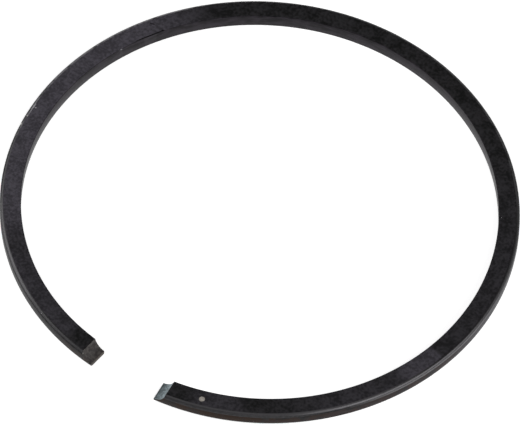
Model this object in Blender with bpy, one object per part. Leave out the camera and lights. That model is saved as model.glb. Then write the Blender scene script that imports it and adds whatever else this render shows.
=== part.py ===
"""Compression ring of a small two-stroke engine, lying relaxed on a flat surface.

The ring is one piece. A chamfered rectangular section is swept along the line that an
evenly pressing ring springs open to, and parted at the gap. Each end has a round hollow
in its upper side, and the two hollows together clear the groove's locating pin.

Metres, +Z up. The gap faces -Y and the side that faces the cylinder head is up. The
origin is in the middle of the outline, on the surface that the ring lies on.
"""

import math

import bmesh
import bpy
from mathutils import Matrix, Vector

# Driving dimensions, in metres
CYLINDER_BORE = 0.0500  # the cylinder that the ring closes to
RING_HEIGHT = 0.0015  # along the cylinder's axis
RADIAL_THICKNESS = 0.00215  # from the outer face to the inner one
CLOSED_GAP = 0.0002  # between the ends, with the ring in its cylinder
FREE_GAP = 0.0073  # between the ends at mid thickness, with the ring relaxed
OUTER_CHAMFER = 0.00022  # at 45 degrees, on both edges of the outer face
INNER_EDGE_BREAK = 0.00005  # at 45 degrees, on both edges of the inner face
HOLLOW_LENGTH = 0.0012  # along the ring, from an end face to the far edge of its hollow
TONGUE_HEIGHT = 0.00045  # what each end keeps below its hollow

# How finely the round forms are drawn
SWEEP_STEPS = 240
HOLLOW_SIDES = 96
GAP_CORRECTIONS = 6
SHARPEST_SMOOTH_ANGLE = math.radians(20)

# Surface colours, linear
PHOSPHATE_BLACK = (0.022, 0.022, 0.024, 1.0)
GROUND_IRON = (0.28, 0.30, 0.31, 1.0)

# Sizes that follow from the driving ones
NEUTRAL_RADIUS = (CYLINDER_BORE - RADIAL_THICKNESS) / 2
HALF_SWEEP = math.pi - CLOSED_GAP / (2 * NEUTRAL_RADIUS)
HOLLOW_DEPTH = RING_HEIGHT - TONGUE_HEIGHT
HOLLOW_HALF_WIDTH = HOLLOW_LENGTH + CLOSED_GAP / 2
HOLLOW_RADIUS = (HOLLOW_HALF_WIDTH**2 + HOLLOW_DEPTH**2) / (2 * HOLLOW_DEPTH)

UP = Vector((0, 0, 1))


def clear_scene():
    """Removes every object, so that the ring is alone."""
    for obj in list(bpy.data.objects):
        bpy.data.objects.remove(obj, do_unlink=True)


def surface(name, colour, roughness, metallic):
    """A plain metal or coated surface."""
    material = bpy.data.materials.new(name)
    material.use_nodes = True
    shader = material.node_tree.nodes["Principled BSDF"]
    shader.inputs["Base Color"].default_value = colour
    shader.inputs["Roughness"].default_value = roughness
    shader.inputs["Metallic"].default_value = metallic
    return material


def outward_at(angle, opening):
    """The relaxed ring's outward direction at this angle of the closed one.

    The angle is counted from the back of the ring, opposite the gap, and opening is the
    share of its curvature that the ring gives up a quarter of the way round. A ring that
    presses evenly all round gives up twice that at its back and nothing at its ends.
    """
    turned = angle - opening * (angle + math.sin(angle))
    return Vector((-math.sin(turned), math.cos(turned), 0))


def half_line(opening):
    """The neutral line's (point, outward) pairs from the back to the -X end."""
    step = 2 * HALF_SWEEP / SWEEP_STEPS
    point = Vector((0, 0, 0))
    line = [(point.copy(), outward_at(0, opening))]
    for count in range(SWEEP_STEPS // 2):
        along = UP.cross(outward_at((count + 0.5) * step, opening))
        point += along * NEUTRAL_RADIUS * step
        line.append((point.copy(), outward_at((count + 1) * step, opening)))
    return line


def opening_of_gap():
    """The opening that leaves FREE_GAP between the relaxed ends."""
    wanted = FREE_GAP - CLOSED_GAP
    opening = wanted / (3 * math.pi * NEUTRAL_RADIUS)
    for _ in range(GAP_CORRECTIONS):
        tip = half_line(opening)[-1][0]
        opening *= wanted / (2 * abs(tip.x) - CLOSED_GAP)
    return opening


def spring_line():
    """(point, outward) pairs from the +X end round the back to the -X end.

    The line is placed so that the ring's outer face lies evenly before and behind the
    origin.
    """
    left = half_line(opening_of_gap())
    flip = Matrix.Scale(-1, 3, (1, 0, 0))
    right = [(flip @ point, flip @ outward) for point, outward in left[:0:-1]]
    line = right + left
    outer = [(point + outward * RADIAL_THICKNESS / 2).y for point, outward in line]
    middle = Vector((0, (max(outer) + min(outer)) / 2, 0))
    return [(point - middle, outward) for point, outward in line]


def station(point, outward):
    """The place of a section: X outward, Y along the ring and Z up from this point."""
    axes = Matrix((outward, UP.cross(outward), UP)).transposed()
    return Matrix.Translation(point) @ axes.to_4x4()


def section_corners():
    """The section's corners as (distance outward from the neutral line, height)."""
    half = RADIAL_THICKNESS / 2
    return [
        (half - OUTER_CHAMFER, 0),
        (half, OUTER_CHAMFER),
        (half, RING_HEIGHT - OUTER_CHAMFER),
        (half - OUTER_CHAMFER, RING_HEIGHT),
        (-half + INNER_EDGE_BREAK, RING_HEIGHT),
        (-half, RING_HEIGHT - INNER_EDGE_BREAK),
        (-half, INNER_EDGE_BREAK),
        (-half + INNER_EDGE_BREAK, 0),
    ]


def add_object(name, mesh, materials):
    """A new object in the scene that holds this mesh."""
    data = bpy.data.meshes.new(name)
    mesh.to_mesh(data)
    mesh.free()
    for material in materials:
        data.materials.append(material)
    obj = bpy.data.objects.new(name, data)
    bpy.context.scene.collection.objects.link(obj)
    return obj


def swept_ring(line, materials):
    """The section swept along the line, with a flat face at each end."""
    mesh = bmesh.new()
    stations = [station(point, outward) for point, outward in line]
    start = stations[0]
    corners = [mesh.verts.new(start @ Vector((out, 0, height))) for out, height in section_corners()]
    outline = mesh.faces.new(corners).edges[:]
    for here, there in zip(stations, stations[1:]):
        grown = bmesh.ops.extrude_edge_only(mesh, edges=outline)["geom"]
        moved = {item for item in grown if isinstance(item, bmesh.types.BMVert)}
        edges = [item for item in grown if isinstance(item, bmesh.types.BMEdge)]
        outline = [edge for edge in edges if moved.issuperset(edge.verts)]
        bmesh.ops.transform(mesh, matrix=there @ here.inverted(), verts=list(moved))
    bmesh.ops.edgeloop_fill(mesh, edges=outline)
    bmesh.ops.recalc_face_normals(mesh, faces=mesh.faces)
    return add_object("piston_ring", mesh, materials)


def hollow_cutter(name, end, inward, materials):
    """A round bar that lies across one end and cuts the hollow for the locating pin.

    end is the foot of the end face at mid thickness, and inward points from there back
    along the ring. Both ends share one bar when the ring is closed, so its centre is half
    the closed gap outside the end face.
    """
    centre = end - inward * CLOSED_GAP / 2 + UP * (TONGUE_HEIGHT + HOLLOW_RADIUS)
    axes = Matrix((inward, UP.cross(inward), UP)).transposed()
    lie_across = axes.to_4x4() @ Matrix.Rotation(math.pi / 2, 4, "X")
    mesh = bmesh.new()
    bmesh.ops.create_cone(
        mesh,
        cap_ends=True,
        segments=HOLLOW_SIDES,
        radius1=HOLLOW_RADIUS,
        radius2=HOLLOW_RADIUS,
        depth=2 * RADIAL_THICKNESS,
        matrix=Matrix.Translation(centre) @ lie_across,
    )
    cutter = add_object(name, mesh, materials)
    cutter.hide_render = True
    cutter.display_type = "WIRE"
    return cutter


def cut(obj, cutter):
    """Takes the cutter's shape out of the object, leaving the cutter's surface there."""
    modifier = obj.modifiers.new(cutter.name, "BOOLEAN")
    modifier.operation = "DIFFERENCE"
    modifier.solver = "EXACT"
    modifier.material_mode = "TRANSFER"
    modifier.object = cutter


def main():
    """Builds the ring."""
    clear_scene()
    coated = surface("black phosphate on cast iron", PHOSPHATE_BLACK, 0.5, 0.0)
    ground = surface("ground cast iron", GROUND_IRON, 0.45, 1.0)
    line = spring_line()
    ring = swept_ring(line, [coated])
    right_end, right_outward = line[0]
    left_end, left_outward = line[-1]
    cut(ring, hollow_cutter("right_hollow", right_end, UP.cross(right_outward), [ground]))
    cut(ring, hollow_cutter("left_hollow", left_end, left_outward.cross(UP), [coated]))
    ring.data.shade_smooth()
    ring.data.set_sharp_from_angle(angle=SHARPEST_SMOOTH_ANGLE)


main()
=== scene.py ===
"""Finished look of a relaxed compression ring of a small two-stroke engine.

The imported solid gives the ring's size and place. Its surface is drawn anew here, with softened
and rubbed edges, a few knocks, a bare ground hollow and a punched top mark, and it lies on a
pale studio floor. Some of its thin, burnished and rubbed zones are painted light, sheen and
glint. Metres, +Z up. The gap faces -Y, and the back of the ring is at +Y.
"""

from __future__ import annotations

import logging
import math
from collections.abc import Callable, Iterator
from contextlib import contextmanager
from dataclasses import dataclass
from enum import Enum
from typing import Any

import bpy
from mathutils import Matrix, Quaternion, Vector


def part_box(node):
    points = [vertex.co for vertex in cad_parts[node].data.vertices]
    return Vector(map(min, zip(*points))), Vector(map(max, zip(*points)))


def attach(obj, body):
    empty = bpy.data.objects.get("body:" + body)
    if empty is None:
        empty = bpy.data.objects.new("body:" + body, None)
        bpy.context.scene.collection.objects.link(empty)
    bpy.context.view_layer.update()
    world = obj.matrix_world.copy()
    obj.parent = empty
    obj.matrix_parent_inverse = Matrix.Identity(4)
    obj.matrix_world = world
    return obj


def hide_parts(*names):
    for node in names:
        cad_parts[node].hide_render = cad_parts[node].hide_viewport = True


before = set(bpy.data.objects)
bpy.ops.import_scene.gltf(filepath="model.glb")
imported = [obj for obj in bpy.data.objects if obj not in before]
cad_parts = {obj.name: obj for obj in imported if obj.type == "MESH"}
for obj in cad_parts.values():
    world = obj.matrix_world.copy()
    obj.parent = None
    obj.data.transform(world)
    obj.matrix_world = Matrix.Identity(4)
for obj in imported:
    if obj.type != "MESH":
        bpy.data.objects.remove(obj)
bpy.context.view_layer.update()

LOG = logging.getLogger("piston_ring")
RING_NODE = "piston_ring"
MM = 0.001
NEAR = 0.01 * MM  # corners closer than this to a line are on it
SEAM = 0.0001 * MM  # corners closer than this to each other are one
UP = Vector((0.0, 0.0, 1.0))
HALF_TURN = math.pi
QUARTER_TURN = math.pi / 2

# The Mix node's colour sockets, by number
MIX_FIRST, MIX_SECOND, MIX_RESULT = 6, 7, 2

# The range that a noise pattern mostly keeps to
NOISE_LOW, NOISE_HIGH = 0.35, 0.65

# What tells the swept ring's faces apart: the share of a face's normal that points up or
# down, and for an end face the share that points outwards
LEVEL_WITHIN = 0.004
CHAMFER_WITHIN = 0.006
UPRIGHT_BELOW = 0.01
RIM_BELOW = 0.5
SHOULDER_ABOVE = 0.85
END_FACE_BELOW = 0.5

# The photograph's width and the sensor's, which turn a focal length in pixels into one in mm
PHOTO_WIDTH_PX = 520
SENSOR_WIDTH_MM = 36.0


# Shared helpers


def linear(colour: str) -> tuple[float, float, float, float]:
    """Turns an sRGB hex colour into the linear values that shaders take.

    Args:
        colour: Six hex digits with a leading hash.

    Returns:
        Red, green, blue and a full alpha.
    """
    parts = [int(colour[at : at + 2], 16) / 255 for at in (1, 3, 5)]
    red, green, blue = (p / 12.92 if p <= 0.04045 else ((p + 0.055) / 1.055) ** 2.4 for p in parts)
    return red, green, blue, 1.0


def per_metre(millimetres: float) -> float:
    """The texture scale at which a pattern repeats about once in this many millimetres."""
    return 1.0 / (millimetres * MM)


def direction(azimuth: float, elevation: float) -> Vector:
    """The direction towards a place round the ring.

    Args:
        azimuth: Degrees from the front of the ring, at -Y, towards +X.
        elevation: Degrees above the floor.

    Returns:
        A vector of length 1.
    """
    turn = math.radians(azimuth)
    rise = math.radians(elevation)
    across, high = math.cos(rise), math.sin(rise)
    return Vector((math.sin(turn) * across, -math.cos(turn) * across, high))


def make_active(obj: bpy.types.Object) -> None:
    """Leaves this object alone selected, and active."""
    bpy.ops.object.select_all(action="DESELECT")
    obj.select_set(True)
    bpy.context.view_layer.objects.active = obj


@contextmanager
def editing(obj: bpy.types.Object, mode: str = "FACE") -> Iterator[None]:
    """Edits this object's mesh for as long as the block runs.

    Args:
        obj: The mesh object to edit.
        mode: What the operators select, which is VERT, EDGE or FACE.
    """
    make_active(obj)
    bpy.ops.object.mode_set(mode="EDIT")
    bpy.ops.mesh.select_mode(type=mode)
    yield
    bpy.ops.object.mode_set(mode="OBJECT")


def select_vertices(obj: bpy.types.Object, chosen: Callable[[Vector], bool]) -> None:
    """Selects the vertices whose place is chosen, and nothing else. Runs in object mode."""
    mesh = obj.data
    for item in (*mesh.edges, *mesh.polygons):
        item.select = False
    for vertex in mesh.vertices:
        vertex.select = chosen(vertex.co)


def select_faces(obj: bpy.types.Object, chosen: Callable[[bpy.types.MeshPolygon], bool]) -> None:
    """Selects the chosen faces, and nothing else. Runs in object mode."""
    mesh = obj.data
    for item in (*mesh.vertices, *mesh.edges):
        item.select = False
    for face in mesh.polygons:
        face.select = chosen(face)


def apply_place(obj: bpy.types.Object) -> None:
    """Moves the object's place, turn and scale into its mesh."""
    make_active(obj)
    bpy.ops.object.transform_apply(location=True, rotation=True, scale=True)


def cut(body: bpy.types.Object, cutter: bpy.types.Object) -> None:
    """Takes the cutter out of the body, leaves the cutter's finish there and deletes the cutter.

    Args:
        body: The closed mesh to cut.
        cutter: The closed mesh to cut with.
    """
    make_active(body)
    modifier = body.modifiers.new(cutter.name, "BOOLEAN")
    modifier.operation = "DIFFERENCE"
    modifier.solver = "EXACT"
    modifier.material_mode = "TRANSFER"
    modifier.object = cutter
    bpy.ops.object.modifier_apply(modifier=modifier.name)
    bpy.data.objects.remove(cutter, do_unlink=True)


def add_node(
    tree: bpy.types.NodeTree,
    kind: str,
    settings: dict[str | int, Any] | None = None,
    links: dict[str | int, bpy.types.NodeSocket] | None = None,
) -> bpy.types.Node:
    """Adds one shader node with its settings and links.

    Args:
        tree: The node tree to add to.
        kind: The node's type name, without the leading ShaderNode.
        settings: Values for the node's attributes, or for its inputs by name or number.
        links: Output sockets to link, by the name or number of the input that each goes to.

    Returns:
        The new node.
    """
    node = tree.nodes.new("ShaderNode" + kind)
    for key, value in (settings or {}).items():
        if isinstance(key, str) and hasattr(node, key):
            setattr(node, key, value)
        else:
            node.inputs[key].default_value = value
    for key, socket in (links or {}).items():
        tree.links.new(socket, node.inputs[key])
    return node


def new_material(name: str) -> tuple[bpy.types.Material, bpy.types.NodeTree, bpy.types.Node]:
    """Starts a material.

    Args:
        name: The material's name.

    Returns:
        The material, its node tree and the tree's shader.
    """
    material = bpy.data.materials.new(name)
    material.use_nodes = True
    tree = material.node_tree
    return material, tree, tree.nodes["Principled BSDF"]


# Finishes


@dataclass(frozen=True)
class Zone:
    """A stretch of the ring on which a finish is worn or uneven.

    Degrees are counted round the ring's middle from its back, positive towards the -X end.

    Attributes:
        begin: Where the zone fades in.
        full_from: Where it has reached its full share.
        full_to: Where it starts to fade out.
        end: Where it has faded out.
        share: Its full share, up to 1.
    """

    begin: float
    full_from: float
    full_to: float
    end: float
    share: float

    def mask(self, tree: bpy.types.NodeTree, turn: bpy.types.NodeSocket) -> bpy.types.NodeSocket:
        """Adds nodes for the zone.

        Args:
            tree: The finish's node tree.
            turn: The turn round the ring, which is 0.5 at its back.

        Returns:
            A socket that gives the zone's share inside it, and 0 outside it.
        """
        begin, full_from, full_to, end = (
            degrees / 360 + 0.5
            for degrees in (self.begin, self.full_from, self.full_to, self.end)
        )
        rise = add_node(
            tree,
            "MapRange",
            {"interpolation_type": "SMOOTHSTEP", "From Min": begin, "From Max": full_from},
            {"Value": turn},
        )
        fall = add_node(
            tree,
            "MapRange",
            {
                "interpolation_type": "SMOOTHSTEP",
                "From Min": full_to,
                "From Max": end,
                "To Min": self.share,
                "To Max": 0.0,
            },
            {"Value": turn},
        )
        links = {0: rise.outputs["Result"], 1: fall.outputs["Result"]}
        return add_node(tree, "Math", {"operation": "MULTIPLY"}, links).outputs["Value"]


def zone_mask(
    tree: bpy.types.NodeTree, place: bpy.types.NodeSocket, zones: tuple[Zone, ...]
) -> bpy.types.NodeSocket:
    """Adds nodes for several zones of the ring.

    Args:
        tree: The finish's node tree.
        place: The place on the ring.
        zones: One zone or more.

    Returns:
        A socket that gives the largest share of any zone at a place.
    """
    back_first = (0.0, 0.0, -QUARTER_TURN)
    turned = add_node(tree, "Mapping", {"Rotation": back_first}, {"Vector": place})
    turn = add_node(
        tree,
        "TexGradient",
        {"gradient_type": "RADIAL"},
        {"Vector": turned.outputs["Vector"]},
    ).outputs["Fac"]
    masks = [zone.mask(tree, turn) for zone in zones]
    largest = masks[0]
    for mask in masks[1:]:
        links = {0: largest, 1: mask}
        largest = add_node(tree, "Math", {"operation": "MAXIMUM"}, links).outputs["Value"]
    return largest


@dataclass(frozen=True)
class PhosphateCoat:
    """Manganese phosphate on cast iron, oiled.

    It gives the eye a satin near-black that is slightly cloudy, with a very fine grain. It is
    mauve grey where the coat is thin and in zones of painted light, brown where oil has stained
    it, and has the sheen of a dark metal where rubbing has burnished it and in zones of painted
    sheen.

    Attributes:
        name: The finish's name.
        dark: The full coat's darkest colour.
        light: Its lightest colour.
        thin_and_lit_dark: The darkest colour of the thin coat and of the painted light.
        thin_and_lit_light: Its lightest colour.
        thin_and_lit_zones: Where the coat is thin, and where painted light makes it lighter.
        stain: The stain's colour.
        stain_zones: Where the coat is stained, in patches.
        burnished: The colour that a burnished coat mirrors, which also paints a sheen in some
            zones.
        burnish_and_sheen_zones: Where the coat is burnished by rubbing, and where a sheen is
            painted on it.
        specular_level: The sheen of the coat that isn't burnished.
        roughness: The coat's mean roughness.
        roughness_spread: How much the roughness varies with the grain.
        cloud_mm: The size of the clouds.
        crystal_mm: The size of the grain. Real crystals are a tenth of it or less, which is
            too fine to show.
        crystal_height_mm: How far the grain stands out.
        crystal_share: The grain's share in the colour, where the rest is cloud.
        stretch: How much longer the grain is round the ring than it is high.
        shade_range: The stretch of the pattern over which the coat goes from dark to light.
        stain_range: The stretch of the clouds over which a stain begins.
    """

    name: str
    dark: str = "#0f0f0f"
    light: str = "#252426"
    thin_and_lit_dark: str = "#343237"
    thin_and_lit_light: str = "#48454c"
    thin_and_lit_zones: tuple[Zone, ...] = ()
    stain: str = "#231409"
    stain_zones: tuple[Zone, ...] = ()
    burnished: str = "#4d4c4e"
    burnish_and_sheen_zones: tuple[Zone, ...] = ()
    specular_level: float = 0.2
    roughness: float = 0.42
    roughness_spread: float = 0.10
    cloud_mm: float = 1.3
    crystal_mm: float = 0.3
    crystal_height_mm: float = 0.004
    crystal_share: float = 0.6
    stretch: float = 1.0
    shade_range: tuple[float, float] = (0.42, 0.58)
    stain_range: tuple[float, float] = (0.36, 0.50)

    def build(self) -> bpy.types.Material:
        """Builds the coat's material."""
        material, tree, shader = new_material(self.name)
        shader.inputs["Specular IOR Level"].default_value = self.specular_level
        place = add_node(tree, "TexCoord").outputs["Object"]
        cloud = add_node(
            tree,
            "TexNoise",
            {"Scale": per_metre(self.cloud_mm), "Detail": 3.0, "Roughness": 0.55},
            {"Vector": place},
        )
        flattened = (1 / self.stretch, 1 / self.stretch, 1.0)
        along = add_node(tree, "Mapping", {"Scale": flattened}, {"Vector": place})
        crystal = add_node(
            tree,
            "TexNoise",
            {"Scale": per_metre(self.crystal_mm), "Detail": 2.0, "Roughness": 0.6},
            {"Vector": along.outputs["Vector"]},
        )
        grain = add_node(
            tree,
            "Mix",
            {"Factor": self.crystal_share},
            {"A": cloud.outputs["Fac"], "B": crystal.outputs["Fac"]},
        ).outputs["Result"]
        spread = self.roughness_spread / 2
        rough = add_node(
            tree,
            "MapRange",
            {
                "From Min": NOISE_LOW,
                "From Max": NOISE_HIGH,
                "To Min": self.roughness - spread,
                "To Max": self.roughness + spread,
            },
            {"Value": grain},
        )
        bump = add_node(
            tree,
            "Bump",
            {"Strength": 1.0, "Distance": self.crystal_height_mm * MM},
            {"Height": crystal.outputs["Fac"]},
        )
        colour = self.colour(tree, place, cloud.outputs["Fac"], grain)
        # The burnished zones are partly rubbing and partly a painted sheen, laid where the lamps
        # should glint
        if self.burnish_and_sheen_zones:
            burnish_and_sheen = zone_mask(tree, place, self.burnish_and_sheen_zones)
            tree.links.new(burnish_and_sheen, shader.inputs["Metallic"])
            colour = add_node(
                tree,
                "Mix",
                {"data_type": "RGBA", MIX_SECOND: linear(self.burnished)},
                {"Factor": burnish_and_sheen, MIX_FIRST: colour},
            ).outputs[MIX_RESULT]
        tree.links.new(colour, shader.inputs["Base Color"])
        tree.links.new(rough.outputs["Result"], shader.inputs["Roughness"])
        tree.links.new(bump.outputs["Normal"], shader.inputs["Normal"])
        return material

    def colour(
        self,
        tree: bpy.types.NodeTree,
        place: bpy.types.NodeSocket,
        cloud: bpy.types.NodeSocket,
        grain: bpy.types.NodeSocket,
    ) -> bpy.types.NodeSocket:
        """Adds nodes for the coat's colour.

        Args:
            tree: The coat's node tree.
            place: The place on the ring.
            cloud: The large cloudy pattern, about 0.5 in the middle.
            grain: The fine pattern, about 0.5 in the middle.

        Returns:
            A socket that gives the colour.
        """
        darkest, lightest = self.shade_range
        shade = add_node(
            tree, "MapRange", {"From Min": darkest, "From Max": lightest}, {"Value": grain}
        ).outputs["Result"]
        thick = add_node(
            tree,
            "Mix",
            {"data_type": "RGBA", MIX_FIRST: linear(self.dark), MIX_SECOND: linear(self.light)},
            {"Factor": shade},
        ).outputs[MIX_RESULT]
        if self.stain_zones:
            clean, stained = self.stain_range
            stain = add_node(
                tree, "MapRange", {"From Min": clean, "From Max": stained}, {"Value": cloud}
            ).outputs["Result"]
            links = {0: stain, 1: zone_mask(tree, place, self.stain_zones)}
            share = add_node(tree, "Math", {"operation": "MULTIPLY"}, links)
            thick = add_node(
                tree,
                "Mix",
                {"data_type": "RGBA", MIX_SECOND: linear(self.stain)},
                {"Factor": share.outputs["Value"], MIX_FIRST: thick},
            ).outputs[MIX_RESULT]
        if not self.thin_and_lit_zones:
            return thick
        thin = add_node(
            tree,
            "Mix",
            {
                "data_type": "RGBA",
                MIX_FIRST: linear(self.thin_and_lit_dark),
                MIX_SECOND: linear(self.thin_and_lit_light),
            },
            {"Factor": shade},
        ).outputs[MIX_RESULT]
        # The thin zones are partly a thin coat and partly painted light, lighter where light falls
        # on the ring
        thin_and_lit_share = zone_mask(tree, place, self.thin_and_lit_zones)
        links = {"Factor": thin_and_lit_share, MIX_FIRST: thick, MIX_SECOND: thin}
        return add_node(tree, "Mix", {"data_type": "RGBA"}, links).outputs[MIX_RESULT]


@dataclass(frozen=True)
class BareIron:
    """Cast iron without its coat: a matt blue-grey metal with a fine ground grain."""

    name: str
    colour: str = "#98a6ab"
    dull: str = "#646b6e"
    metallic: float = 1.0
    roughness: float = 0.5
    grain_mm: float = 0.2

    def build(self) -> bpy.types.Material:
        """Builds the metal's material."""
        material, tree, shader = new_material(self.name)
        shader.inputs["Metallic"].default_value = self.metallic
        shader.inputs["Roughness"].default_value = self.roughness
        place = add_node(tree, "TexCoord").outputs["Object"]
        grain = add_node(
            tree,
            "TexNoise",
            {"Scale": per_metre(self.grain_mm), "Detail": 3.0, "Roughness": 0.6},
            {"Vector": place},
        )
        share = add_node(
            tree,
            "MapRange",
            {"From Min": NOISE_LOW, "From Max": NOISE_HIGH},
            {"Value": grain.outputs["Fac"]},
        )
        colour = add_node(
            tree,
            "Mix",
            {"data_type": "RGBA", MIX_FIRST: linear(self.dull), MIX_SECOND: linear(self.colour)},
            {"Factor": share.outputs["Result"]},
        )
        tree.links.new(colour.outputs[MIX_RESULT], shader.inputs["Base Color"])
        return material


@dataclass(frozen=True)
class RubbedEdgeAndGlint:
    """A coated edge, partly rubbed through by handling and partly given bright iron as a painted
    glint.

    It gives the eye a thin line that glints where a lamp is beyond it, broken where the coat
    is gone in spots only, and faint and even where it has worn thin and a highlight is painted.

    Attributes:
        name: The finish's name.
        coat: The coat's colour.
        iron: The colour of the iron under it.
        zones: Where the coat is gone in spots, which on the left also paints the glinting line.
        even_wear_and_glint_zones: Where it has worn thin evenly, and a highlight is painted on the
            shoulder.
        patch_mm: The size of the spots.
        bare_from: Where in the pattern's range a spot begins.
        bare_to: Where in that range it is fully bare.
        specular_level: The coat's sheen.
        roughness: The edge's roughness.
    """

    name: str
    coat: str = "#141315"
    iron: str = "#aca9ae"
    # Bright iron partly from rubbing and partly a painted glint: a line on the left, and a painted
    # highlight evenly on the left and in front
    zones: tuple[Zone, ...] = (
        Zone(-70, -40, 50, 60, 0.1),
        Zone(42, 58, 88, 116, 0.72),
    )
    even_wear_and_glint_zones: tuple[Zone, ...] = (
        Zone(60, 104, 138, 160, 0.16),
        Zone(-178, -177, -125, -100, 0.095),
    )
    patch_mm: float = 0.9
    bare_from: float = 0.4
    bare_to: float = 0.54
    specular_level: float = 0.38
    roughness: float = 0.4

    def build(self) -> bpy.types.Material:
        """Builds the edge's material."""
        material, tree, shader = new_material(self.name)
        shader.inputs["Roughness"].default_value = self.roughness
        shader.inputs["Specular IOR Level"].default_value = self.specular_level
        place = add_node(tree, "TexCoord").outputs["Object"]
        patches = add_node(
            tree,
            "TexNoise",
            {"Scale": per_metre(self.patch_mm), "Detail": 4.0, "Roughness": 0.65},
            {"Vector": place},
        )
        worn = add_node(
            tree,
            "MapRange",
            {"From Min": self.bare_from, "From Max": self.bare_to},
            {"Value": patches.outputs["Fac"]},
        )
        links = {0: worn.outputs["Result"], 1: zone_mask(tree, place, self.zones)}
        broken = add_node(tree, "Math", {"operation": "MULTIPLY"}, links).outputs["Value"]
        links = {0: broken, 1: zone_mask(tree, place, self.even_wear_and_glint_zones)}
        bare = add_node(tree, "Math", {"operation": "MAXIMUM"}, links).outputs["Value"]
        colour = add_node(
            tree,
            "Mix",
            {"data_type": "RGBA", MIX_FIRST: linear(self.coat), MIX_SECOND: linear(self.iron)},
            {"Factor": bare},
        )
        tree.links.new(colour.outputs[MIX_RESULT], shader.inputs["Base Color"])
        tree.links.new(bare, shader.inputs["Metallic"])
        return material


class Finish(Enum):
    """The finishes of the ring's surfaces."""

    # Ground flat before coating: near-black, and mauve grey where the coat is thin, which is on
    # the left and on a patch at the right front. On the left the grey is partly painted light,
    # lighter where light falls from the left
    SIDE_FACE = PhosphateCoat(
        "black phosphate on ground side faces",
        thin_and_lit_zones=(
            Zone(41, 62, 124, 140, 1.0),
            Zone(128, 140, 162, 164.5, 0.4),
            Zone(-166, -160, -154, -149, 0.35),
            Zone(-150, -128, -116, -106, 0.25),
            Zone(-118, -111, -103.8, -102.9, 0.72),
            Zone(-108, -102, -78, -30, 0.15),
        ),
    )
    # Turned: a grain that runs round the ring, brown oil in front, and a lighter grey towards the
    # right front that is partly a thin coat and partly painted light
    RUNNING_FACE = PhosphateCoat(
        "black phosphate on the turned running face",
        thin_and_lit_zones=(Zone(-155, -135, -106, -92, 0.15), Zone(-106, -92, -76, -60, 0.5)),
        stain_zones=(
            Zone(-177, -176, -143, -112, 1.0),
            Zone(-177, -176, -112, -84, 0.8),
            Zone(160, 170, 177, 178, 1.0),
        ),
        specular_level=0.08,
        roughness=0.38,
        stretch=5.0,
    )
    # Turned: the same grain with a trace of purple
    BORE_FACE = PhosphateCoat(
        "black phosphate on the turned inner face",
        dark="#120f13",
        light="#28242a",
        specular_level=0.1,
        roughness=0.38,
        stretch=5.0,
    )
    # A sheen below the chamfer at the right front: partly burnished by handling, partly a painted
    # highlight
    RIM = PhosphateCoat(
        "burnished phosphate on the running face's rim",
        burnished="#666567",
        burnish_and_sheen_zones=(
            Zone(-178, -177, -140, -130, 0.2),
            Zone(-132, -113, -94, -72, 1.0),
        ),
        specular_level=0.08,
        roughness=0.38,
    )
    # Grey bands in front, brightest at the right front: partly burnished by handling, partly a
    # painted sheen where the lamps glint on the chamfers
    CHAMFER = PhosphateCoat(
        "black phosphate on the outer chamfers",
        burnish_and_sheen_zones=(
            Zone(-178, -177, -165, -158, 0.75),
            Zone(-178, -177, -140, -130, 0.48),
            Zone(-151, -132, -122, -112, 1.0),
            Zone(-151, -132, -84, -45, 0.88),
            Zone(112, 130, 148, 156, 0.72),
            Zone(126, 138, 177, 178, 0.42),
        ),
        specular_level=0.12,
    )
    # A glinting line on the left, and a faint one at the back and in front: partly rubbed through,
    # partly a painted glint
    RUBBED_EDGE_AND_GLINT = RubbedEdgeAndGlint("rubbed phosphate and painted glints on rounded edges")
    # Slit before coating: a thin brownish coat
    END_FACE = PhosphateCoat(
        "browned phosphate on the slit end faces",
        dark="#2b2520",
        light="#3f3831",
        specular_level=0.1,
    )
    # Milled before coating: a thin, lighter grey coat
    COATED_HOLLOW = PhosphateCoat(
        "thin phosphate in the milled hollow",
        dark="#333030",
        light="#4a4745",
        specular_level=0.1,
    )
    # Ground after coating: blue-grey iron
    BARE_HOLLOW = BareIron("ground cast iron")
    # The lightest of all, in fresh dents, with more scatter than shine
    SCRATCH = BareIron("freshly scratched iron", "#c4c2c0", "#8e8d8c", 0.2, 0.6)
    # Iron that has lost its brightness: a grey line or speck
    OLD_SCRATCH = BareIron("dulled iron in old scratches", "#a9a7ab", "#848286", 0.2, 0.6)
    # Oil and dust in a dent: darker than the coat round it, with hardly a sheen
    OLD_DENT = PhosphateCoat(
        "darkened phosphate in old dents",
        dark="#0a0a0b",
        light="#141315",
        specular_level=0.05,
    )
    # Iron at the bottom of the mark, slightly warm
    PUNCH_MARK = BareIron("dulled iron in the punch mark", "#a8a29b", "#868079", 0.2, 0.6)

    def material(self) -> bpy.types.Material:
        """This finish's material, which is built when it is first asked for."""
        known = bpy.data.materials.get(self.value.name)
        return known or self.value.build()


# The ring


@dataclass(frozen=True)
class Place:
    """A place on the ring's middle line, with the outward direction's turn from +Y there."""

    point: Vector
    turned: float

    def outward(self) -> Vector:
        """The direction from the ring's middle line to its outer face."""
        return Vector((-math.sin(self.turned), math.cos(self.turned), 0.0))

    def along(self) -> Vector:
        """The direction along the ring, from its back to its -X end."""
        return UP.cross(self.outward())


@dataclass(frozen=True)
class Arc:
    """A stretch of the middle line with one centre of curvature."""

    centre: Vector
    turn: float
    start: Place
    end: Place


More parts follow.
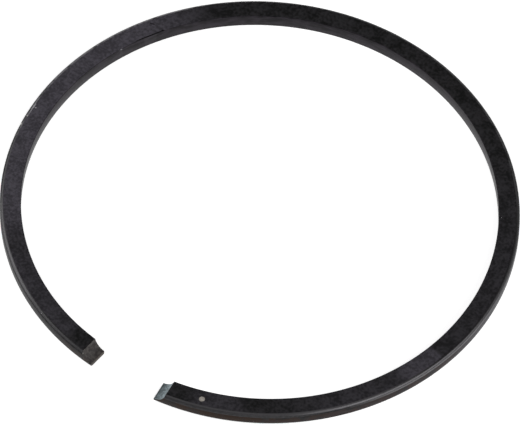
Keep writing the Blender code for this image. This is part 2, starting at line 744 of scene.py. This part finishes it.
@dataclass(frozen=True)
class SpringLine:
    """The line through the middle of the ring's thickness, in its relaxed form.

    A ring that presses evenly all round springs open to this line. Angles are those of the
    closed ring, counted from its back to the -X end, and lengths are in metres.
    """

    bore: float = 50.0 * MM
    thickness: float = 2.15 * MM
    closed_gap: float = 0.2 * MM
    free_gap: float = 7.3 * MM
    arc_count: int = 30
    corrections: int = 8

    @property
    def radius(self) -> float:
        """The closed ring's radius at the middle of its thickness."""
        return (self.bore - self.thickness) / 2

    @property
    def half_sweep(self) -> float:
        """The closed ring's angle from its back to either end."""
        return HALF_TURN - self.closed_gap / (2 * self.radius)

    def turned(self, angle: float, opening: float) -> float:
        """How far the relaxed ring's outward direction has turned at this angle."""
        return angle - opening * (angle + math.sin(angle))

    def chain(self, back: Vector, opening: float, last: float) -> list[Arc]:
        """Arcs, each tangent to the next, from the back of the ring towards the -X end.

        Args:
            back: The middle line's place at the back of the ring.
            opening: The share of its curvature that the ring gives up a quarter way round.
            last: The angle at which the chain ends.

        Returns:
            The arcs in order.
        """
        arcs = []
        here = Place(back, 0.0)
        step = last / self.arc_count
        for count in range(self.arc_count):
            turn = self.turned((count + 1) * step, opening) - here.turned
            radius = self.radius * step / turn
            centre = here.point - here.outward() * radius
            outward = Place(centre, here.turned + turn).outward()
            there = Place(centre + outward * radius, here.turned + turn)
            arcs.append(Arc(centre, turn, here, there))
            here = there
        return arcs

    def opening(self) -> float:
        """The opening that leaves the free gap between the relaxed ends."""
        wanted = self.free_gap - self.closed_gap
        opening = wanted / (3 * math.pi * self.radius)
        for _ in range(self.corrections):
            tip = self.chain(Vector((0, 0, 0)), opening, self.half_sweep)[-1].end.point
            opening *= wanted / (2 * abs(tip.x) - self.closed_gap)
        return opening

    def place_at(self, back: Vector, degrees: float) -> Place:
        """The place at this many degrees of the closed ring, positive towards the -X end."""
        end = self.chain(back, self.opening(), math.radians(abs(degrees)))[-1].end
        if degrees >= 0:
            return end
        return Place(Vector((-end.point.x, end.point.y, end.point.z)), -end.turned)


class End(Enum):
    """The ring's two ends, each with the side of the gap that it is on."""

    RIGHT = 1
    LEFT = -1


@dataclass(frozen=True)
class Knock:
    """A small dent in the ring, where something hard has struck it.

    Attributes:
        degrees: Where it is round the closed ring, positive towards the -X end.
        outward_mm: How far outside the middle line its centre is.
        height_mm: How far its centre is above the lower side face.
        size_mm: Its size along the ring, across it and in height.
        turn_degrees: How far it is turned from the ring's own direction there.
        finish: What shows in it.
    """

    degrees: float
    outward_mm: float
    height_mm: float
    size_mm: tuple[float, float, float]
    turn_degrees: float = 0.0
    finish: Finish = Finish.SCRATCH


@dataclass(frozen=True)
class CompressionRing:
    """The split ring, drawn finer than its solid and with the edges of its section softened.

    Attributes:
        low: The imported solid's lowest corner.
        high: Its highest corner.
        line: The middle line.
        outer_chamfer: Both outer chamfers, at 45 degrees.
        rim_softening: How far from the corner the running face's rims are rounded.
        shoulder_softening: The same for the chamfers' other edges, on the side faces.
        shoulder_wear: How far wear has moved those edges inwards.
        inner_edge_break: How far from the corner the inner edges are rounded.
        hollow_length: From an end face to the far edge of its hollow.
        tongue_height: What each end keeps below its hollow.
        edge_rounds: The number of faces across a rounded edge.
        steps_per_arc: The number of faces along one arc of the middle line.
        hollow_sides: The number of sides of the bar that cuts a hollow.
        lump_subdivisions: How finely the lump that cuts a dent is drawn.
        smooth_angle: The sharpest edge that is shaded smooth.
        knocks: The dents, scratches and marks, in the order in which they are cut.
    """

    low: Vector
    high: Vector
    line: SpringLine = SpringLine()
    outer_chamfer: float = 0.22 * MM
    rim_softening: float = 0.13 * MM
    shoulder_softening: float = 0.09 * MM
    shoulder_wear: float = 0.04 * MM
    inner_edge_break: float = 0.05 * MM
    hollow_length: float = 1.2 * MM
    tongue_height: float = 0.45 * MM
    edge_rounds: int = 3
    steps_per_arc: int = 12
    hollow_sides: int = 160
    lump_subdivisions: int = 3
    smooth_angle: float = math.radians(30)
    knocks: tuple[Knock, ...] = (
        # A nick in the outer rim on the left
        Knock(105.6, 1.06, 1.37, (0.44, 0.42, 0.44)),
        # A fine scratch on the upper face behind it, with a spot beside it and one at its end
        Knock(100.7, 0.725, 1.505, (2.0, 0.08, 0.05), 0.0, Finish.OLD_SCRATCH),
        Knock(99.7, 0.72, 1.505, (0.9, 0.14, 0.06), 0.0, Finish.OLD_SCRATCH),
        Knock(99.9, 0.47, 1.515, (0.18, 0.20, 0.05), 0.0, Finish.OLD_SCRATCH),
        Knock(102.9, 0.77, 1.49, (0.22, 0.16, 0.12)),
        # A dull dent in the shoulder at the left front
        Knock(162.5, 1.03, 1.43, (0.26, 0.16, 0.18), 0.0, Finish.OLD_SCRATCH),
        # A worn inner edge at the left back with a chip at its end, a mark and a speck
        Knock(63.4, -1.045, 1.49, (3.5, 0.14, 0.12), 0.0, Finish.OLD_DENT),
        Knock(59.9, -0.99, 1.49, (0.30, 0.20, 0.12), 0.0, Finish.OLD_DENT),
        Knock(61.4, 0.20, 1.505, (0.56, 0.13, 0.06), -41.7, Finish.OLD_DENT),
        Knock(72.15, -1.07, 1.46, (0.24, 0.05, 0.06), 0.0, Finish.OLD_SCRATCH),
        # A speck on the right
        Knock(-62.7, -0.79, 1.505, (0.09, 0.07, 0.03), 0.0, Finish.OLD_SCRATCH),
        # A chip in the chamfer at the left end
        Knock(177.13, 0.955, 1.19, (0.18, 0.22, 0.14)),
        # The round punched mark that says which side is up
        Knock(-168.6, 0.0, 1.5, (0.60, 0.60, 0.1), 0.0, Finish.PUNCH_MARK),
    )

    @property
    def height(self) -> float:
        """The ring's height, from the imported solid."""
        return self.high.z - self.low.z

    @property
    def back(self) -> Vector:
        """The middle line's place at the back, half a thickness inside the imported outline."""
        return Vector((0.0, self.high.y - self.line.thickness / 2, self.low.z))

    def build(self) -> bpy.types.Object:
        """Builds the whole ring.

        Returns:
            The finished object, which rides on the frame.
        """
        ring = self.section()
        self.sweep(ring)
        self.mirror(ring)
        self.dress(ring)
        for end in End:
            cut(ring, self.hollow_cutter(end))
        for number, knock in enumerate(self.knocks):
            cut(ring, self.knock_cutter(number, knock))
        self.smooth(ring)
        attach(ring, "root")
        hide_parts(RING_NODE)
        return ring

    def section(self) -> bpy.types.Object:
        """The ring's section at its back, as one face with chamfered and rounded corners.

        Returns:
            The new object, whose face stands in the plane of the gap's middle.
        """
        thickness = self.line.thickness
        centre = self.back + UP * self.height / 2
        upright = (0.0, QUARTER_TURN, 0.0)
        bpy.ops.mesh.primitive_plane_add(size=1.0, location=centre, rotation=upright)
        section = bpy.context.object
        section.name = "finished_ring"
        apply_place(section)
        with editing(section):
            bpy.ops.mesh.select_all(action="SELECT")
            size = (1.0, thickness, self.height)
            bpy.ops.transform.resize(value=size, center_override=centre)
        select_vertices(section, lambda place: place.y < centre.y)
        with editing(section, "VERT"):
            self.round_corners(self.inner_edge_break, self.edge_rounds)
        select_vertices(section, lambda place: place.y > centre.y)
        with editing(section, "VERT"):
            self.round_corners(self.outer_chamfer, 1)
        rim = centre.y + thickness / 2
        select_vertices(section, lambda place: abs(place.y - rim) < NEAR)
        with editing(section, "VERT"):
            self.round_corners(self.rim_softening, self.edge_rounds)
        shoulder = rim - self.outer_chamfer
        select_vertices(section, lambda place: abs(place.y - shoulder) < NEAR)
        with editing(section, "VERT"):
            bpy.ops.transform.translate(value=(0.0, -self.shoulder_wear, 0.0))
            self.round_corners(self.shoulder_softening, self.edge_rounds)
        return section

    def round_corners(self, offset: float, segments: int) -> None:
        """Bevels the selected corners of the section."""
        bpy.ops.mesh.bevel(offset=offset, segments=segments, affect="VERTICES", profile=0.5)

    def sweep(self, ring: bpy.types.Object) -> None:
        """Spins the section about one centre of curvature after another, up to the -X end."""
        with editing(ring):
            bpy.ops.mesh.select_all(action="SELECT")
            for arc in self.line.chain(self.back, self.line.opening(), self.line.half_sweep):
                bpy.ops.mesh.spin(
                    steps=self.steps_per_arc, angle=-arc.turn, center=arc.centre, axis=UP
                )

    def mirror(self, ring: bpy.types.Object) -> None:
        """Opens the half ring at its back and mirrors it into the whole ring."""
        select_faces(ring, lambda face: abs(face.center.x) < SEAM)
        with editing(ring):
            bpy.ops.mesh.delete(type="FACE")
        modifier = ring.modifiers.new("other half", "MIRROR")
        modifier.merge_threshold = SEAM
        bpy.ops.object.modifier_apply(modifier=modifier.name)
        with editing(ring):
            bpy.ops.mesh.select_all(action="SELECT")
            bpy.ops.mesh.normals_make_consistent(inside=False)

    def dress(self, ring: bpy.types.Object) -> None:
        """Gives each face of the swept ring the finish of its surface."""
        finishes = [
            Finish.SIDE_FACE,
            Finish.RUNNING_FACE,
            Finish.BORE_FACE,
            Finish.RIM,
            Finish.CHAMFER,
            Finish.RUBBED_EDGE_AND_GLINT,
            Finish.END_FACE,
        ]
        for finish in finishes:
            ring.data.materials.append(finish.material())
        for face in ring.data.polygons:
            face.material_index = finishes.index(self.finish_of(face))

    def finish_of(self, face: bpy.types.MeshPolygon) -> Finish:
        """The finish of a face, told from its slope and the way it looks."""
        slope = abs(face.normal.z)
        chamfer_run = self.outer_chamfer + self.shoulder_wear
        chamfer_slope = chamfer_run / math.hypot(chamfer_run, self.outer_chamfer)
        if abs(slope - 1) < LEVEL_WITHIN:
            return Finish.SIDE_FACE
        if abs(slope - chamfer_slope) < CHAMFER_WITHIN:
            return Finish.CHAMFER
        outward = Vector((face.center.x, face.center.y, 0.0)).normalized().dot(face.normal)
        if slope < UPRIGHT_BELOW and abs(outward) < END_FACE_BELOW:
            return Finish.END_FACE
        if outward < 0:
            return Finish.BORE_FACE
        if slope < UPRIGHT_BELOW:
            return Finish.RUNNING_FACE
        if slope < RIM_BELOW:
            return Finish.RIM
        return Finish.RUBBED_EDGE_AND_GLINT if slope > SHOULDER_ABOVE else Finish.CHAMFER

    def hollow_cutter(self, end: End) -> bpy.types.Object:
        """The round bar that cuts one end's hollow for the groove's locating pin.

        Both ends share one bar when the ring is closed, so its centre is half the closed gap
        outside the end face.

        Args:
            end: The end to cut.

        Returns:
            The bar, with the finish of that end's hollow.
        """
        half_width = self.hollow_length + self.line.closed_gap / 2
        depth = self.height - self.tongue_height
        radius = (half_width**2 + depth**2) / (2 * depth)
        tip = self.line.place_at(self.back, math.degrees(self.line.half_sweep) * -end.value)
        beyond = tip.along() * self.line.closed_gap / 2 * -end.value
        bpy.ops.object.select_all(action="DESELECT")
        bpy.ops.mesh.primitive_cylinder_add(
            vertices=self.hollow_sides,
            radius=radius,
            depth=2 * self.line.thickness,
            location=tip.point + beyond + UP * (self.tongue_height + radius),
            rotation=(QUARTER_TURN, 0.0, tip.turned),
        )
        cutter = bpy.context.object
        finish = Finish.BARE_HOLLOW if end is End.RIGHT else Finish.COATED_HOLLOW
        cutter.data.materials.append(finish.material())
        return cutter

    def knock_cutter(self, number: int, knock: Knock) -> bpy.types.Object:
        """The round lump that leaves one dent.

        Args:
            number: The dent's number, which gives each lump its own name.
            knock: The dent.

        Returns:
            The lump, with the knock's finish.
        """
        place = self.line.place_at(self.back, knock.degrees)
        centre = place.point + place.outward() * knock.outward_mm * MM + UP * knock.height_mm * MM
        bpy.ops.object.select_all(action="DESELECT")
        bpy.ops.mesh.primitive_ico_sphere_add(
            subdivisions=self.lump_subdivisions,
            radius=0.5,  # a lump one metre across, which the scale makes as small as the dent
            location=centre,
            rotation=(0.0, 0.0, place.turned + math.radians(knock.turn_degrees)),
            scale=[size * MM for size in knock.size_mm],
        )
        cutter = bpy.context.object
        cutter.name = f"knock_{number}"
        cutter.data.materials.append(knock.finish.material())
        return cutter

    def smooth(self, ring: bpy.types.Object) -> None:
        """Shades the ring smooth, and keeps its flat faces flat right up to their edges."""
        make_active(ring)
        bpy.ops.object.shade_smooth_by_angle(angle=self.smooth_angle)
        modifier = ring.modifiers.new("flat faces stay flat", "WEIGHTED_NORMAL")
        modifier.keep_sharp = True
        bpy.ops.object.modifier_apply(modifier=modifier.name)


# The studio


@dataclass(frozen=True)
class Softbox:
    """A soft rectangular lamp that faces the ring.

    Angles are those of the photograph: azimuth 0 is behind the ring, opposite the camera,
    and it grows clockwise as seen from above.
    """

    name: str
    azimuth: float
    elevation: float
    distance: float
    width: float
    height: float
    radiance: float

    def build(self, front: float) -> bpy.types.Object:
        """Adds the lamp.

        Args:
            front: The camera's azimuth in degrees, from which the lamp's is counted.

        Returns:
            The lamp, which the camera doesn't see.
        """
        away = direction(front + 180 - self.azimuth, self.elevation)
        data = bpy.data.lights.new(self.name, "AREA")
        data.shape = "RECTANGLE"
        data.size = self.width
        data.size_y = self.height
        data.energy = self.radiance * math.pi * self.width * self.height
        lamp = bpy.data.objects.new(self.name, data)
        lamp.location = away * self.distance
        lamp.rotation_mode = "QUATERNION"
        lamp.rotation_quaternion = (-away).to_track_quat("-Z", "Y")
        lamp.visible_camera = False
        bpy.context.scene.collection.objects.link(lamp)
        return lamp


@dataclass(frozen=True)
class Camera:
    """The camera, at the photograph's viewing angle and with its long lens.

    Attributes:
        azimuth: Degrees from the front of the ring towards +X.
        elevation: Degrees above the floor.
        roll: How many degrees the camera is turned about its line of sight.
        distance: From the camera to the origin, in metres.
        focal_px: The focal length in pixels of the photograph.
        aim_left_px: How far left of the origin the camera aims.
        aim_low_px: How far below the origin it aims.
        pixels_per_metre: The picture's scale at the origin.
    """

    azimuth: float = 31.76
    elevation: float = 53.74
    roll: float = 1.53
    distance: float = 1.1116
    focal_px: float = 11000.0
    aim_left_px: float = 1.88
    aim_low_px: float = 0.33
    pixels_per_metre: float = 9895.3

    def build(self) -> bpy.types.Object:
        """Adds the camera and makes it the scene's own."""
        back = direction(self.azimuth, self.elevation)
        roll = Quaternion((0.0, 0.0, 1.0), math.radians(self.roll))
        heading = (-back).to_track_quat("-Z", "Y") @ roll
        data = bpy.data.cameras.new("camera")
        data.sensor_width = SENSOR_WIDTH_MM
        data.lens = self.focal_px * SENSOR_WIDTH_MM / PHOTO_WIDTH_PX
        camera = bpy.data.objects.new("camera", data)
        aside = Vector((-self.aim_left_px, -self.aim_low_px, 0.0)) / self.pixels_per_metre
        camera.location = back * self.distance + heading @ aside
        camera.rotation_mode = "QUATERNION"
        camera.rotation_quaternion = heading
        bpy.context.scene.collection.objects.link(camera)
        bpy.context.scene.camera = camera
        return camera


@dataclass(frozen=True)
class Studio:
    """A pale floor, soft lamps and a dim white surround."""

    floor_radius: float = 0.9
    floor_sides: int = 96
    floor_colour: str = "#d9d9d9"
    floor_roughness: float = 0.9
    floor_glow: float = 0.7  # burns the floor out to white, as in a catalogue picture
    surround: str = "#ffffff"
    surround_strength: float = 0.1
    lamps: tuple[Softbox, ...] = (
        Softbox("right", 122, 36, 0.6, 0.6, 0.3, 4.5),
        Softbox("camera_side", 172, 36, 0.6, 0.3, 0.3, 2.0),
        Softbox("left_back", -78, 30, 0.6, 0.5, 0.45, 3.8),
        Softbox("right_back", 50, 25, 0.6, 0.3, 0.3, 0.4),
    )

    def build(self) -> bpy.types.Object:
        """Builds the studio.

        Returns:
            The floor.
        """
        bpy.context.scene.view_settings.view_transform = "Standard"
        camera = Camera()
        camera.build()
        for lamp in self.lamps:
            lamp.build(camera.azimuth)
        self.light_surround()
        return self.floor()

    def light_surround(self) -> None:
        """Fills the room round the floor with an even soft light."""
        world = bpy.data.worlds.new("surround")
        world.use_nodes = True
        background = world.node_tree.nodes["Background"]
        background.inputs["Color"].default_value = linear(self.surround)
        background.inputs["Strength"].default_value = self.surround_strength
        bpy.context.scene.world = world

    def floor(self) -> bpy.types.Object:
        """The round floor that the ring lies on."""
        bpy.ops.object.select_all(action="DESELECT")
        bpy.ops.mesh.primitive_circle_add(
            vertices=self.floor_sides, radius=self.floor_radius, fill_type="NGON"
        )
        floor = bpy.context.object
        floor.name = "floor"
        material, _, shader = new_material("matt white paper")
        shader.inputs["Base Color"].default_value = linear(self.floor_colour)
        shader.inputs["Roughness"].default_value = self.floor_roughness
        shader.inputs["Specular IOR Level"].default_value = 0.0
        shader.inputs["Emission Color"].default_value = linear(self.surround)
        shader.inputs["Emission Strength"].default_value = self.floor_glow
        floor.data.materials.append(material)
        return floor


def main() -> None:
    """Builds the ring and the studio round it."""
    logging.basicConfig(level=logging.INFO, format="%(name)s: %(message)s")
    low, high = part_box(RING_NODE)
    ring = CompressionRing(low, high).build()
    LOG.info("%s has %d faces", ring.name, len(ring.data.polygons))
    floor = Studio().build()
    LOG.info("%s is laid", floor.name)


if __name__ == "__main__":
    main()
